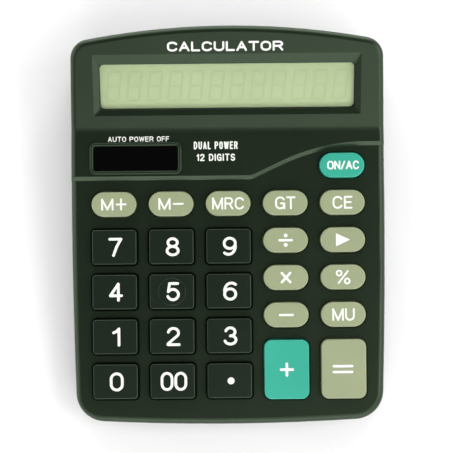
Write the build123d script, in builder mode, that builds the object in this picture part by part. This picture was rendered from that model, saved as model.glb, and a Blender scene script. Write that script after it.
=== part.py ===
"""A twelve-digit desk calculator: a wedge-shaped case with a key deck, a display face tilted up behind
it, a solar window, twenty-six sprung keys on a rubber mat, and an AA cell behind a sliding door.

Frame: X across the case, Y from the user to the back, Z up from the table. The origin is the middle of
the case's footprint, at the feet. Most of the case is drawn in the deck frame, (u, v, n): u is X, v runs
up the key deck's slope from its middle, and n stands out of the deck. The display is drawn in the face
frame, (u, t, m): t runs up the display face from the fold, and m stands out of it. All sizes are in
millimetres.
"""

from build123d import *
import os
from math import atan, cos, degrees, radians, sin, tan

# ------------------------------------------------------------------ driving dimensions
DECK_TILT = 6.0  # key deck against the table, degrees
FACE_TILT = 17.0  # display face against the key deck, degrees
DECK_Y = -0.48  # where the deck frame's origin is, so that the footprint is centred
DECK_Z = 20.3

CASE_HALF_WIDTH = 59.1  # at the widest place, on the parting plane
WIDEST_V = 10.0
SIDE_RADIUS = 2550.0  # the sides are slightly bowed
FRONT_V = -75.3
FRONT_RADIUS = 850.0
FRONT_CORNER = 11.0
BACK_V = 73.9
BACK_RADIUS = 295.0
BACK_CORNER = 7.5

PARTING_N = -6.0  # the plane where the two case halves meet
WALL = 2.0
UPPER_DRAFT = 1.5
LOWER_DRAFT = 2.0
RIM_ROUND = 2.0
FRONT_RIM_ROUND = 2.4
BOTTOM_ROUND = 1.0
STEP_HEIGHT = 1.0  # the display end stands this much over the key deck
STEP_WIDTH = 1.5
STEP_OVERRUN = 1.2  # the step's slope is cut this many times its own length, to pass the panel's top
FOLD_V = 35.6  # where the display face starts to rise
FOLD_ROUND = 7.0
LIP = 0.95  # the lower case's lip, inside the upper case's rebate
LIP_HEIGHT = 1.4
SEAM = 0.4  # width and depth of the shadow groove where the case halves meet
CLEAR = 0.1

# the wave-shaped step across the case
WAVE_LOW_V = 17.6
WAVE_KINK_U = 8.9
WAVE_KINK_ROUND = 4.0
WAVE_SLOPE = 25.3
WAVE_SLOPE_RUN = 10.6
WAVE_RADIUS = 77.0

# keys
COLUMN_PITCH = 21.4
KEY_WIDTH = 16.8
DIGIT_HEIGHT = 13.1
DIGIT_CORNER = 1.3
DIGIT_PITCH = 16.8
DIGIT_TOP_ROW_V = -8.2
OVAL_HEIGHT = 9.3
OVAL_PITCH = 14.0
OVAL_TOP_ROW_V = 7.85
TALL_HEIGHT = 22.2
TALL_CORNER = 2.8
TALL_V = -54.6
POWER_KEY_V = 21.8
KEY_TOP_N = 2.3
KEY_BASE_N = -3.2
KEY_DRAFT = 1.5
KEY_EDGE = 0.45
KEY_SHELL = 1.3
FLANGE = 1.0
KEY_GAP = 0.4  # between a key and its aperture
APERTURE_ROUND = 0.4
PLUNGER_RADIUS = 2.7
HOMING_RADIUS = 5.1  # the raised ring on the 5 key
HOMING_WIDTH = 0.45
HOMING_HEIGHT = 0.2

# keyboard stack under the deck
BOARD_TOP_N = -7.0
BOARD_THICK = 1.6
BOARD_UNDER_N = BOARD_TOP_N - BOARD_THICK
BOARD_HALF_WIDTH = 50.0
BOARD_FRONT_V = -65.2
BOARD_BACK_V = 28.0
BOARD_TAB_HALF_WIDTH = 36.0
BOARD_TAB_V = -71.0
MAT_WEB = 1.0
MAT_INSET = 0.4  # the mat stops this far inside the board's edges
MAT_BACK_V = 13.2
MAT_POWER_U = 34.5  # the mat reaches further back under the power key
DOME_TOP_N = KEY_BASE_N - 0.05
DOME_RADIUS = 4.2
DOME_TOP_RADIUS = 2.8
DOME_WALL = 0.9
PROCESSOR_PLACE = (0.0, 5.0)
PROCESSOR_RADIUS = 6.0
PROCESSOR_HEIGHT = 1.6
PROCESSOR_ROUND = 1.44
CAPACITORS = [(14.0, 8.0), (20.5, 8.0)]
CAPACITOR_RADIUS = 2.0
CAPACITOR_HEIGHT = 5.0
BOARD_POSTS = [(-10.7, -50.5), (10.7, -50.5), (-10.7, -16.6), (10.7, -16.6)]
BOARD_POST_RADIUS = 1.6

# display, in the face frame
WINDOW_HALF_WIDTH = 47.7
WINDOW_LOW_T = 7.7
WINDOW_HIGH_T = 25.0
WINDOW_CORNER = 1.4
RECESS_HALF_WIDTH = 49.9
RECESS_LOW_T = 5.6
RECESS_HIGH_T = 28.8
RECESS_CORNER = 0.4
RECESS_DEPTH = 0.8
FACE_WALL = (WALL + STEP_HEIGHT) * cos(radians(FACE_TILT))
LENS_TOP_M = -1.3
LENS_THICK = 1.0
LENS_MARGIN = 1.4  # how far the lens reaches past the window
LCD_TOP_M = -2.5
LCD_THICK = 1.1
LCD_HALF_WIDTH = 49.0
LCD_LOW_T = 6.4
LCD_HIGH_T = 26.3
FRAME_HALF_WIDTH = 53.8
FRAME_LOW_T = 5.0
FRAME_HIGH_T = 27.8
FRAME_CORNER = 1.0
FRAME_PLATE = 1.5
FRAME_UNDER_M = LCD_TOP_M - LCD_THICK - FRAME_PLATE
RIBBON_HALF_WIDTH = 30.0
RIBBON_THICK = 0.25
RIBBON_BEND = 1.0
RIBBON_DROP = 1.5  # straight run under the frame
RIBBON_SLOPE = (9.0, 2.0)  # where it bends down to the board, behind and over the board's back edge
RIBBON_JOINT = 5.0  # the length that is bonded to the board
RIBBON_SLOT = (7.0, 9.4)  # where the ribbon passes through the frame, in t

# solar window
SOLAR_PLACE = (-34.55, 25.05)
SOLAR_WIDTH = 31.7
SOLAR_HEIGHT = 9.2
SOLAR_CORNER = 0.9
SOLAR_RING = 1.5
SOLAR_RING_HEIGHT = 0.8
SOLAR_RING_ROUND = 0.7
SOLAR_FLANGE = 1.2
SOLAR_FLANGE_THICK = 0.8
SOLAR_CELL_THICK = 1.2
SOLAR_WIRES_U = [-44.0, -38.0]
SOLAR_WIRE_DROP = 1.5
SOLAR_WIRE_RUN = 4.0
SOLAR_WIRE_BEND = 0.7

# lower case, battery bay and door
FOOT_HEIGHT = 1.2
FLOOR = 2.0
FLOOR_Z = FOOT_HEIGHT + FLOOR
BAY_HALF_LENGTH = 28.7
BAY_FRONT_Y = 46.0
BAY_BACK_Y = 62.6
BAY_TOP_Z = 18.9
BAY_WALL = 1.4
DOOR_HALF_WIDTH = 31.0
DOOR_FRONT_Y = 42.0
DOOR_THICK = 1.8
DOOR_TONGUE = 1.2
DOOR_TONGUE_THICK = 0.8
DOOR_GAP = 0.25
DOOR_LIFT = FLOOR - DOOR_THICK  # the slot's room over and under the door's tongues
GRIP_COUNT = 5
GRIP_PITCH = 1.8
GRIP_LENGTH = 20.0
GRIP_WIDTH = 0.9
GRIP_DEPTH = 0.4
GRIP_Y = 64.0
COVER_PLATE = 1.4  # the plate of the lower case that lies over the door
CELL_RADIUS = 7.1
CELL_LENGTH = 49.0
CELL_NUB_RADIUS = 2.75
CELL_NUB = 1.4
CELL_ROUND = 0.4
CELL_Y = (BAY_FRONT_Y + BAY_BACK_Y) / 2
CELL_Z = FLOOR_Z + CELL_RADIUS + 0.05
CONTACT_THICK = 0.4
CONTACT_HALF_WIDTH = 5.3
CONTACT_LOW_Z = 5.0
CONTACT_HIGH_Z = 16.0
TAB_Y = 50.0
TAB_HALF_WIDTH = 1.5
TAB_Z = 12.0
TAB_LENGTH = 1.9
SPRING_RADIUS = 3.8
SPRING_WIRE = 0.3
SPRING_PITCH = 1.4
WIRE_RADIUS = 0.5
WIRE_U = 33.5
WIRE_END_V = 24.5
WIRE_RISE = 1.7
WIRE_SLOPE = (2.5, 8.5)  # where the wires slope down to the battery, behind the board's back edge
WIRE_BENDS = [0.7, 3.0, 3.0, 1.2]

# fasteners and feet
CASE_SCREWS = [(-45, -69.6), (45, -69.6), (-54.2, 15.4), (54.2, 15.4), (-37, 66.95), (37, 66.95)]
CASE_SEAT_N = -9.2  # where the case screws' heads sit
CASE_SCREW_RADIUS = 1.1
CASE_HEAD_RADIUS = 2.2
CASE_HEAD_HEIGHT = 1.5
CASE_SCREW_LENGTH = 6.0
CASE_BOSS_RADIUS = 2.4
CASE_TUBE_RADIUS = 3.6
BOARD_SCREWS = [(-32.1, 15.4), (32.1, 15.4), (32.1, -13.1), (-21.4, -69.1), (21.4, -69.1)]
BOARD_SCREW_RADIUS = 0.9
BOARD_HEAD_RADIUS = 1.9
BOARD_HEAD_HEIGHT = 0.9
BOARD_SCREW_LENGTH = 4.6
BOARD_BOSS_RADIUS = 1.9
LCD_SCREWS = [(-51.9, 9.0), (51.9, 9.0), (-51.9, 22.0), (51.9, 22.0)]
LCD_SCREW_RADIUS = 0.7
LCD_HEAD_RADIUS = 1.4
LCD_HEAD_HEIGHT = 0.8
LCD_SCREW_LENGTH = 4.2
SCREW_SLOT = 0.45
HEAD_ROUND = 0.3
FEET = [(-47, -58), (47, -58), (-47, 58), (47, 58)]
FOOT_RADIUS = 4.2
FOOT_RECESS = 0.8
FOOT_ROUND = 0.4

BIG = 200.0  # longer than anything it has to cut
TALL = 45.0  # higher than the case

# ------------------------------------------------------------------ planes
deck = Plane(
    origin=(0, DECK_Y, DECK_Z),
    x_dir=(1, 0, 0),
    z_dir=(0, -sin(radians(DECK_TILT)), cos(radians(DECK_TILT))),
)
parting = deck.offset(PARTING_N)
side = Plane(origin=deck.origin, x_dir=deck.y_dir, z_dir=deck.x_dir)  # its x is v, its y is n
face = Plane(
    origin=deck.from_local_coords((0, FOLD_V, STEP_HEIGHT)),
    x_dir=(1, 0, 0),
    z_dir=(0, -sin(radians(DECK_TILT + FACE_TILT)), cos(radians(DECK_TILT + FACE_TILT))),
)
bottom = Plane.XY.offset(FOOT_HEIGHT)

PARTS = []


def keep(piece, label):
    """Labels a finished piece and puts it on the list to be written."""
    piece.label = label
    PARTS.append(piece)


def border(faces):
    """The edges round a group of faces, without the edges that two of them share."""
    edges = [edge for one in faces for edge in one.edges()]
    return ShapeList(edge for edge in edges if sum(edge.is_same(other) for other in edges) == 1)


def level_faces(part, n):
    """A part's flat faces that look out of the deck at height n over it."""
    return part.faces().filter_by(
        lambda one: one.geom_type == GeomType.PLANE
        and one.normal_at().dot(deck.z_dir) > 0.999
        and abs(deck.to_local_coords(one.center()).Z - n) < 0.01
    )


# ------------------------------------------------------------------ profiles
def case_outline(plane, inset=0.0):
    """The case's outline on the parting plane, with its walls moved in by inset."""
    side_x = CASE_HALF_WIDTH - inset
    front_mid_v = FRONT_V + inset
    back_mid_v = BACK_V - inset
    front_x = side_x - (WIDEST_V - front_mid_v) ** 2 / (2 * SIDE_RADIUS)
    back_x = side_x - (back_mid_v - WIDEST_V) ** 2 / (2 * SIDE_RADIUS)
    front_v = front_mid_v + front_x**2 / (2 * FRONT_RADIUS)
    back_v = back_mid_v - back_x**2 / (2 * BACK_RADIUS)
    with BuildSketch(plane) as outline:
        with BuildLine():
            ThreePointArc((-front_x, front_v), (0, front_mid_v), (front_x, front_v))
            ThreePointArc((front_x, front_v), (side_x, WIDEST_V), (back_x, back_v))
            ThreePointArc((back_x, back_v), (0, back_mid_v), (-back_x, back_v))
            ThreePointArc((-back_x, back_v), (-side_x, WIDEST_V), (-front_x, front_v))
        make_face()
        fillet(outline.vertices().group_by(Axis.Y)[0], FRONT_CORNER - inset)
        fillet(outline.vertices().group_by(Axis.Y)[-1], BACK_CORNER - inset)
    return outline.sketch


def wave_front(plane, shift):
    """Everything in front of the wave-shaped step, whose line is moved back by shift."""
    low_v = WAVE_LOW_V + shift
    slope_end_u = WAVE_KINK_U + WAVE_SLOPE_RUN
    slope_end_v = low_v + WAVE_SLOPE_RUN * tan(radians(WAVE_SLOPE))
    crest_u = slope_end_u + WAVE_RADIUS * sin(radians(WAVE_SLOPE))
    crest_v = slope_end_v + WAVE_RADIUS * (1 - cos(radians(WAVE_SLOPE)))
    rise = (cos(radians(WAVE_SLOPE)), sin(radians(WAVE_SLOPE)))
    with BuildSketch(plane) as region:
        with BuildLine():
            Polyline((-BIG / 2, low_v), (WAVE_KINK_U, low_v), (slope_end_u, slope_end_v))
            TangentArc((slope_end_u, slope_end_v), (crest_u, crest_v), tangent=rise)
            Polyline((crest_u, crest_v), (BIG / 2, crest_v), (BIG / 2, -BIG), (-BIG / 2, -BIG))
            Line((-BIG / 2, -BIG), (-BIG / 2, low_v))
        make_face()
        fillet(region.vertices().sort_by_distance((WAVE_KINK_U, low_v))[0], WAVE_KINK_ROUND)
    return region.sketch


def display_end_profile(drop):
    """Side view of the display end: the panel and the display face, each lowered by drop."""
    rise = tan(radians(FACE_TILT))
    panel_n = STEP_HEIGHT - drop
    with BuildSketch(side) as profile:
        with BuildLine():
            Polyline(
                (-BIG / 2, PARTING_N),
                (-BIG / 2, panel_n),
                (FOLD_V, panel_n),
                (BIG / 2, panel_n + (BIG / 2 - FOLD_V) * rise),
                (BIG / 2, PARTING_N),
                close=True,
            )
        make_face()
        fillet(profile.vertices().sort_by_distance((FOLD_V, panel_n))[0], FOLD_ROUND)
    return profile.sketch


def face_rectangle(m, half_width, low_t, high_t, corner=0.0):
    """A rectangle on a plane that is parallel to the display face, at height m over it."""
    with BuildSketch(face.offset(m)) as sketch:
        with Locations((0, (low_t + high_t) / 2)):
            if corner:
                RectangleRounded(2 * half_width, high_t - low_t, corner)
            else:
                Rectangle(2 * half_width, high_t - low_t)
    return sketch.sketch


def window_sketch(m):
    """The display window's outline at height m over the display face."""
    return face_rectangle(m, WINDOW_HALF_WIDTH, WINDOW_LOW_T, WINDOW_HIGH_T, WINDOW_CORNER)


def lens_sketch(grow=0.0):
    """The lens's outline in its seat behind the window, grown by grow all round."""
    reach = LENS_MARGIN + grow
    return face_rectangle(
        LENS_TOP_M,
        WINDOW_HALF_WIDTH + reach,
        WINDOW_LOW_T - reach,
        WINDOW_HIGH_T + reach,
        WINDOW_CORNER,
    )


def solar_sketch(n, grow=0.0):
    """The solar window's outline at height n over the deck, grown by grow all round."""
    with BuildSketch(deck.offset(n)) as sketch:
        with Locations(SOLAR_PLACE):
            RectangleRounded(SOLAR_WIDTH + 2 * grow, SOLAR_HEIGHT + 2 * grow, SOLAR_CORNER + grow)
    return sketch.sketch


def discs(plane, places, radius):
    """Equal discs at places on a plane."""
    with BuildSketch(plane) as sketch:
        with Locations(*places):
            Circle(radius)
    return sketch.sketch


def block(low, high, mode=Mode.ADD):
    """A box between two corners, square to the table."""
    width, depth, height = [b - a for a, b in zip(low, high)]
    with BuildSketch(Plane.XY.offset(low[2])) as base:
        with Locations(((low[0] + high[0]) / 2, (low[1] + high[1]) / 2)):
            Rectangle(width, depth)
    extrude(base.sketch, amount=height, mode=mode)


def wire(points, bends, radius):
    """A round wire along straight runs joined by arcs."""
    with BuildLine() as route:
        FilletPolyline(*points, radius=bends)
    with BuildSketch(Plane(origin=route.line @ 0, z_dir=route.line % 0)) as section:
        Circle(radius)
    sweep(section.sketch, path=route.line)


# ------------------------------------------------------------------ keys
COLUMNS = [COLUMN_PITCH * i for i in (-2, -1, 0, 1, 2)]
DIGIT_ROWS = [DIGIT_TOP_ROW_V - DIGIT_PITCH * i for i in range(4)]
OVAL_ROWS = [OVAL_TOP_ROW_V - OVAL_PITCH * i for i in range(4)]
DIGIT_NAMES = ["7", "8", "9", "4", "5", "6", "1", "2", "3", "0", "00", "point"]
MEMORY_NAMES = ["m_plus", "m_minus", "mrc", "gt", "ce"]
FUNCTION_NAMES = ["divide", "backspace", "multiply", "percent", "minus", "mark_up"]

KEYS = [
    (f"key_{name}", (COLUMNS[i % 3], DIGIT_ROWS[i // 3]), "digit")
    for i, name in enumerate(DIGIT_NAMES)
]
KEYS += [(f"key_{name}", (COLUMNS[i], OVAL_ROWS[0]), "oval") for i, name in enumerate(MEMORY_NAMES)]
KEYS += [
    (f"key_{name}", (COLUMNS[3 + i % 2], OVAL_ROWS[1 + i // 2]), "oval")
    for i, name in enumerate(FUNCTION_NAMES)
]
KEYS += [
    ("key_power", (COLUMNS[4], POWER_KEY_V), "oval"),
    ("key_plus", (COLUMNS[3], TALL_V), "tall"),
    ("key_equals", (COLUMNS[4], TALL_V), "tall"),
]
KEY_PLACES = [place for label, place, kind in KEYS]


def key_sketch(n, place, kind, grow=0.0):
    """One key's outline at its place and at height n over the deck, grown by grow all round."""
    width = KEY_WIDTH + 2 * grow
    with BuildSketch(deck.offset(n)) as sketch:
        with Locations(place):
            if kind == "oval":
                SlotOverall(width, OVAL_HEIGHT + 2 * grow)
            elif kind == "tall":
                RectangleRounded(width, TALL_HEIGHT + 2 * grow, TALL_CORNER + grow)
            else:
                corner = max(DIGIT_CORNER + grow, APERTURE_ROUND)
                RectangleRounded(width, DIGIT_HEIGHT + 2 * grow, corner)
    return sketch.sketch


def make_key(label, place, kind):
    """A moulded key cap: hollow, with a flange that holds it under the deck and a plunger."""
    base_grow = -KEY_BASE_N * tan(radians(KEY_DRAFT))
    inside = KEY_TOP_N - KEY_BASE_N - KEY_SHELL
    with BuildPart() as key:
        base = key_sketch(KEY_BASE_N, place, kind, base_grow)
        extrude(base, amount=KEY_TOP_N - KEY_BASE_N, taper=KEY_DRAFT)
        fillet(level_faces(key, KEY_TOP_N).edges(), KEY_EDGE)
        extrude(key_sketch(KEY_BASE_N, place, kind, FLANGE), amount=-WALL - CLEAR - KEY_BASE_N)
        extrude(key_sketch(KEY_BASE_N, place, kind, -KEY_SHELL), amount=inside, mode=Mode.SUBTRACT)
        extrude(discs(deck.offset(KEY_BASE_N), [place], PLUNGER_RADIUS), amount=inside + KEY_SHELL / 2)
        if label == "key_5":
            with BuildSketch(deck.offset(KEY_TOP_N)):
                with Locations(place):
                    Circle(HOMING_RADIUS + HOMING_WIDTH / 2)
                    Circle(HOMING_RADIUS - HOMING_WIDTH / 2, mode=Mode.SUBTRACT)
            extrude(amount=HOMING_HEIGHT)
            ring_top = level_faces(key, KEY_TOP_N + HOMING_HEIGHT)
            fillet(ring_top.edges(), HOMING_WIDTH / 3)
    keep(key.part, label)


for key_label, key_place, key_kind in KEYS:
    make_key(key_label, key_place, key_kind)

# ------------------------------------------------------------------ upper case
step_slope = (deck.y_dir * STEP_WIDTH + deck.z_dir * STEP_HEIGHT) * STEP_OVERRUN

with BuildPart() as display_end:
    extrude(case_outline(parting), amount=TALL, taper=UPPER_DRAFT)
    extrude(display_end_profile(0), amount=BIG / 2, both=True, mode=Mode.INTERSECT)
    tops = display_end.faces().filter_by(lambda one: one.normal_at().dot(deck.z_dir) > 0.5)
    fillet(border(tops), RIM_ROUND)
    low_side = wave_front(deck, -STEP_WIDTH / 2)
    extrude(low_side, amount=-TALL, mode=Mode.SUBTRACT)
    extrude(low_side, amount=step_slope.length, dir=step_slope.normalized(), mode=Mode.SUBTRACT)

with BuildPart() as key_deck:
    extrude(case_outline(parting), amount=-PARTING_N, taper=UPPER_DRAFT)
    fillet(level_faces(key_deck, 0).edges(), FRONT_RIM_ROUND)
    fold_plane = Plane(origin=deck.from_local_coords((0, FOLD_V, 0)), z_dir=deck.y_dir)
    split(bisect_by=fold_plane, keep=Keep.BOTTOM)

with BuildPart() as upper_room:
    extrude(case_outline(parting, WALL), amount=TALL, taper=UPPER_DRAFT)
    extrude(display_end_profile(WALL + STEP_HEIGHT), amount=BIG / 2, both=True, mode=Mode.INTERSECT)

with BuildPart() as upper_bosses:
    extrude(discs(parting, CASE_SCREWS, CASE_BOSS_RADIUS), amount=TALL)
    extrude(discs(parting, BOARD_SCREWS, BOARD_BOSS_RADIUS), amount=TALL)
    add(upper_room.part, mode=Mode.INTERSECT)
    boss_ends = discs(deck.offset(BOARD_TOP_N), BOARD_SCREWS, BOARD_BOSS_RADIUS)
    extrude(boss_ends, amount=PARTING_N - BOARD_TOP_N)

with BuildPart() as upper_case:
    add(display_end.part)
    add(key_deck.part)
    add(upper_room.part, mode=Mode.SUBTRACT)
    extrude(case_outline(parting, WALL - LIP), amount=LIP_HEIGHT + CLEAR, mode=Mode.SUBTRACT)
    add(upper_bosses.part)
    case_holes = discs(parting, CASE_SCREWS, CASE_SCREW_RADIUS + CLEAR / 2)
    case_hole_depth = CASE_SCREW_LENGTH - (PARTING_N - CASE_SEAT_N) + CLEAR
    extrude(case_holes, amount=case_hole_depth, mode=Mode.SUBTRACT)
    board_holes = discs(deck.offset(BOARD_TOP_N), BOARD_SCREWS, BOARD_SCREW_RADIUS + CLEAR / 2)
    extrude(board_holes, amount=BOARD_SCREW_LENGTH - BOARD_THICK + CLEAR, mode=Mode.SUBTRACT)

    # key apertures with softly rounded edges
    for key_label, key_place, key_kind in KEYS:
        aperture = key_sketch(CLEAR, key_place, key_kind, KEY_GAP)
        extrude(aperture, amount=-WALL - 2 * CLEAR, mode=Mode.SUBTRACT)
    deck_face = level_faces(upper_case, 0).sort_by(SortBy.AREA)[-1]
    fillet(deck_face.inner_wires().edges(), APERTURE_ROUND)

    # the display's recess, its window and the seat for its lens
    recess_top = face_rectangle(0, RECESS_HALF_WIDTH, RECESS_LOW_T, RECESS_HIGH_T, RECESS_CORNER)
    loft([recess_top, window_sketch(-RECESS_DEPTH)], ruled=True, mode=Mode.SUBTRACT)
    extrude(window_sketch(-RECESS_DEPTH), amount=-FACE_WALL, mode=Mode.SUBTRACT)
    extrude(lens_sketch(CLEAR), amount=-FACE_WALL, mode=Mode.SUBTRACT)
    lcd_holes = discs(face.offset(-FACE_WALL), LCD_SCREWS, LCD_SCREW_RADIUS + CLEAR / 2)
    lcd_hole_depth = FRAME_UNDER_M + LCD_SCREW_LENGTH + FACE_WALL + CLEAR
    extrude(lcd_holes, amount=lcd_hole_depth, mode=Mode.SUBTRACT)

    # the solar window's raised ring and its opening
    extrude(solar_sketch(STEP_HEIGHT, SOLAR_RING), amount=SOLAR_RING_HEIGHT)
    ring_top_n = STEP_HEIGHT + SOLAR_RING_HEIGHT
    opening_depth = ring_top_n + WALL + 2 * CLEAR
    extrude(solar_sketch(-WALL - CLEAR), amount=opening_depth, mode=Mode.SUBTRACT)
    ring_top = level_faces(upper_case, ring_top_n)
    fillet(ring_top.edges(), SOLAR_RING_ROUND)
keep(upper_case.part, "upper_case")

# ------------------------------------------------------------------ lower case and battery door
bay_half = BAY_HALF_LENGTH + BAY_WALL
slot_half = DOOR_HALF_WIDTH + DOOR_GAP
groove_half = slot_half + DOOR_TONGUE
slot_front = DOOR_FRONT_Y - DOOR_GAP

with BuildPart() as lower_form:
    extrude(case_outline(parting), amount=-TALL, taper=LOWER_DRAFT)
    split(bisect_by=bottom, keep=Keep.TOP)
    fillet(lower_form.faces().sort_by(Axis.Z)[0].edges(), BOTTOM_ROUND)

with BuildPart() as seam_groove:
    extrude(case_outline(parting), amount=-SEAM)
    extrude(case_outline(parting, SEAM), amount=-SEAM, mode=Mode.SUBTRACT)

with BuildPart() as lower_room:
    extrude(case_outline(parting, WALL), amount=-TALL, taper=LOWER_DRAFT)
    split(bisect_by=Plane.XY.offset(FLOOR_Z), keep=Keep.TOP)

with BuildPart() as lower_fittings:
    extrude(discs(parting, CASE_SCREWS, CASE_TUBE_RADIUS), amount=-TALL)
    extrude(discs(deck.offset(BOARD_UNDER_N), BOARD_POSTS, BOARD_POST_RADIUS), amount=-TALL)
    block((-bay_half, BAY_FRONT_Y - BAY_WALL, 0), (bay_half, BAY_BACK_Y + BAY_WALL, BAY_TOP_Z))
    block(
        (-groove_half - COVER_PLATE, slot_front - COVER_PLATE, 0),
        (groove_half + COVER_PLATE, BIG / 2, FLOOR_Z + COVER_PLATE),
    )
    add(lower_room.part, mode=Mode.INTERSECT)

with BuildPart() as lower_case:
    add(lower_form.part)
    add(seam_groove.part, mode=Mode.SUBTRACT)
    add(lower_room.part, mode=Mode.SUBTRACT)
    add(lower_fittings.part)
    extrude(case_outline(parting, WALL - LIP + CLEAR), amount=LIP_HEIGHT)
    extrude(case_outline(parting, WALL), amount=LIP_HEIGHT, mode=Mode.SUBTRACT)

    # the bay, with a slot for each contact's tab
    tab_room = (TAB_HALF_WIDTH + CLEAR, CONTACT_THICK / 2 + CLEAR)
    block(
        (-BAY_HALF_LENGTH, BAY_FRONT_Y, FLOOR_Z - CLEAR),
        (BAY_HALF_LENGTH, BAY_BACK_Y, BAY_TOP_Z - BAY_WALL),
        mode=Mode.SUBTRACT,
    )
    block(
        (-bay_half - CLEAR, TAB_Y - tab_room[0], TAB_Z - tab_room[1]),
        (bay_half + CLEAR, TAB_Y + tab_room[0], TAB_Z + tab_room[1]),
        mode=Mode.SUBTRACT,
    )

    # the door's slot, open at the back, with a groove for each tongue
    block((-slot_half, slot_front, 0), (slot_half, BIG / 2, FLOOR_Z), mode=Mode.SUBTRACT)
    groove_low = FLOOR_Z - 2 * DOOR_LIFT - DOOR_TONGUE_THICK
    block((-groove_half, slot_front, groove_low), (groove_half, BIG / 2, FLOOR_Z), mode=Mode.SUBTRACT)

    # case screws and feet
    head_holes = discs(deck.offset(CASE_SEAT_N), CASE_SCREWS, CASE_HEAD_RADIUS + 2 * CLEAR)
    extrude(head_holes, amount=-TALL, mode=Mode.SUBTRACT)
    shank_holes = discs(parting, CASE_SCREWS, CASE_SCREW_RADIUS + 2 * CLEAR)
    extrude(shank_holes, amount=CASE_SEAT_N - PARTING_N, mode=Mode.SUBTRACT)
    extrude(discs(bottom, FEET, FOOT_RADIUS + CLEAR), amount=FOOT_RECESS, mode=Mode.SUBTRACT)
keep(lower_case.part, "lower_case")

with BuildPart() as battery_door:
    door_top = FOOT_HEIGHT + DOOR_THICK
    tongue_half = DOOR_HALF_WIDTH + DOOR_TONGUE
    block((-DOOR_HALF_WIDTH, DOOR_FRONT_Y, FOOT_HEIGHT), (DOOR_HALF_WIDTH, BIG / 2, door_top))
    block((-tongue_half, DOOR_FRONT_Y, door_top - DOOR_TONGUE_THICK), (tongue_half, BIG / 2, door_top))
    add(lower_form.part, mode=Mode.INTERSECT)
    with BuildSketch(bottom):
        with Locations((0, GRIP_Y)):
            with GridLocations(0, GRIP_PITCH, 1, GRIP_COUNT):
                SlotOverall(GRIP_LENGTH, GRIP_WIDTH)
    extrude(amount=GRIP_DEPTH, mode=Mode.SUBTRACT)
keep(battery_door.part, "battery_door")

# ------------------------------------------------------------------ display
with BuildPart() as display_window:
    extrude(lens_sketch(), amount=-LENS_THICK)
keep(display_window.part, "display_window")

with BuildPart() as lcd_panel:
    extrude(face_rectangle(LCD_TOP_M, LCD_HALF_WIDTH, LCD_LOW_T, LCD_HIGH_T), amount=-LCD_THICK)
keep(lcd_panel.part, "lcd_panel")

with BuildPart() as lcd_frame:
    frame_depth = -FACE_WALL - FRAME_UNDER_M
    outer = face_rectangle(-FACE_WALL, FRAME_HALF_WIDTH, FRAME_LOW_T, FRAME_HIGH_T, FRAME_CORNER)
    extrude(outer, amount=-frame_depth)
    pocket = face_rectangle(-FACE_WALL, LCD_HALF_WIDTH + CLEAR, LCD_LOW_T - CLEAR, LCD_HIGH_T + CLEAR)
    extrude(pocket, amount=FRAME_PLATE - frame_depth, mode=Mode.SUBTRACT)
    ribbon_slot = face_rectangle(-FACE_WALL, RIBBON_HALF_WIDTH + 1, *RIBBON_SLOT)
    extrude(ribbon_slot, amount=-TALL, mode=Mode.SUBTRACT)
    extrude(discs(face, LCD_SCREWS, LCD_SCREW_RADIUS + CLEAR), amount=-TALL, mode=Mode.SUBTRACT)
keep(lcd_frame.part, "lcd_frame")


def face_to_side(t, m):
    """A point of the display face's frame, as v and n."""
    tilt = radians(FACE_TILT)
    return (FOLD_V + t * cos(tilt) - m * sin(tilt), STEP_HEIGHT + t * sin(tilt) + m * cos(tilt))


with BuildPart() as lcd_ribbon:
    slot_t = sum(RIBBON_SLOT) / 2
    board_level = BOARD_TOP_N + RIBBON_THICK / 2
    with BuildSketch(side):
        with BuildLine():
            FilletPolyline(
                face_to_side(slot_t, LCD_TOP_M - LCD_THICK),
                face_to_side(slot_t, FRAME_UNDER_M - RIBBON_DROP),
                (BOARD_BACK_V + RIBBON_SLOPE[0], board_level + RIBBON_SLOPE[1]),
                (BOARD_BACK_V, board_level),
                (BOARD_BACK_V - RIBBON_JOINT, board_level),
                radius=RIBBON_BEND,
            )
        trace(line_width=RIBBON_THICK)
    extrude(amount=RIBBON_HALF_WIDTH, both=True)
keep(lcd_ribbon.part, "lcd_ribbon")

# ------------------------------------------------------------------ solar window
solar_under_n = -WALL - SOLAR_FLANGE_THICK

with BuildPart() as solar_window:
    extrude(solar_sketch(solar_under_n, SOLAR_FLANGE), amount=SOLAR_FLANGE_THICK)
    extrude(solar_sketch(-WALL, -CLEAR), amount=WALL + STEP_HEIGHT - CLEAR)
keep(solar_window.part, "solar_window")

with BuildPart() as solar_cell:
    extrude(solar_sketch(solar_under_n, SOLAR_FLANGE / 2), amount=-SOLAR_CELL_THICK)
keep(solar_cell.part, "solar_cell")

with BuildPart() as solar_wires:
    for wire_u in SOLAR_WIRES_U:
        high_n = solar_under_n - SOLAR_CELL_THICK
        low_n = high_n - SOLAR_WIRE_DROP
        wire_v = SOLAR_PLACE[1]
        stops = [(wire_v, high_n), (wire_v, low_n)]
        stops += [(wire_v - SOLAR_WIRE_RUN, low_n), (wire_v - SOLAR_WIRE_RUN, BOARD_TOP_N)]
        points = [deck.from_local_coords((wire_u, v, n)) for v, n in stops]
        wire(points, [SOLAR_WIRE_BEND, SOLAR_WIRE_BEND], WIRE_RADIUS)
keep(solar_wires.part, "solar_wires")

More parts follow.
